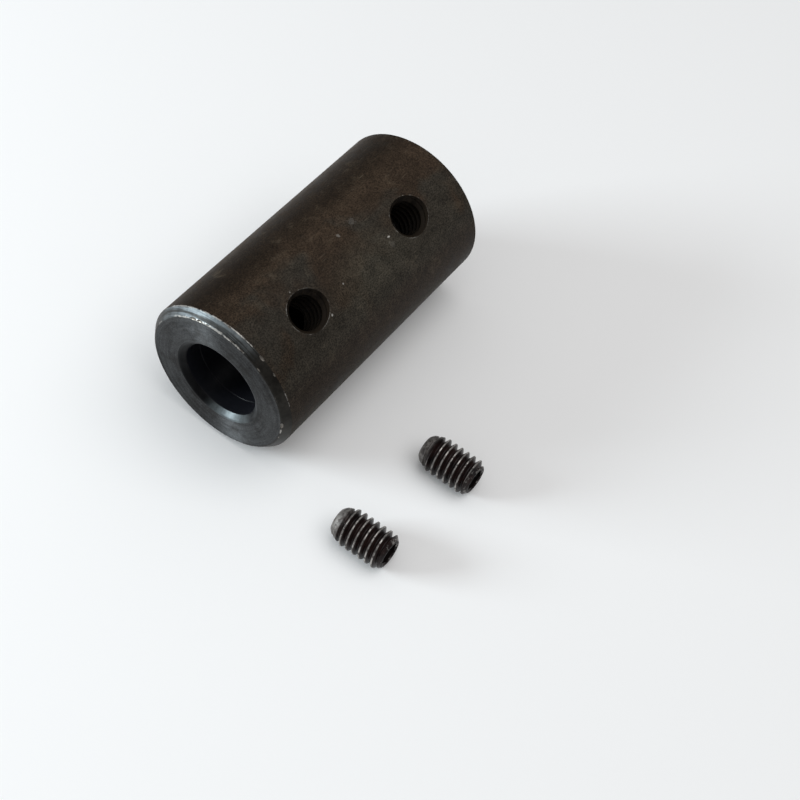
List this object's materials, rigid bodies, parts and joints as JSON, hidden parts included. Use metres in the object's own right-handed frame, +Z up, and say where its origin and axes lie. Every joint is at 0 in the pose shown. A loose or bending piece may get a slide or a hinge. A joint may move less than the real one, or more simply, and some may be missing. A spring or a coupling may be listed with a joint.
{
  "type": "rigid shaft coupling",
  "caption": "Turned steel sleeve that joins a thick shaft and a thinner one end to end, with a tapped hole over each, and its socket set screws lying beside it.",
  "frame": {"origin": "on the bores' axis, half way between the sleeve's ends, where the two bores meet", "axes": "+X along the bores, from the end beside which the first screw lies to the other end; +Z up, away from the surface that the sleeve and screws lie on; the screws are on the -Y side"},
  "size_m": [0.0329, 0.0304, 0.016],
  "materials": {
    "blackened_steel": "black oxide over turned carbon steel, mottled brown, with bare worn edges and blue-grey turned end faces",
    "black_oxide_alloy_steel": "oiled black oxide on a rolled thread, with bright worn crests"
  },
  "bodies": {
    "root": {"sleeve": "blackened_steel", "near_set_screw": "black_oxide_alloy_steel", "far_set_screw": "black_oxide_alloy_steel"}
  },
  "joints": []
}
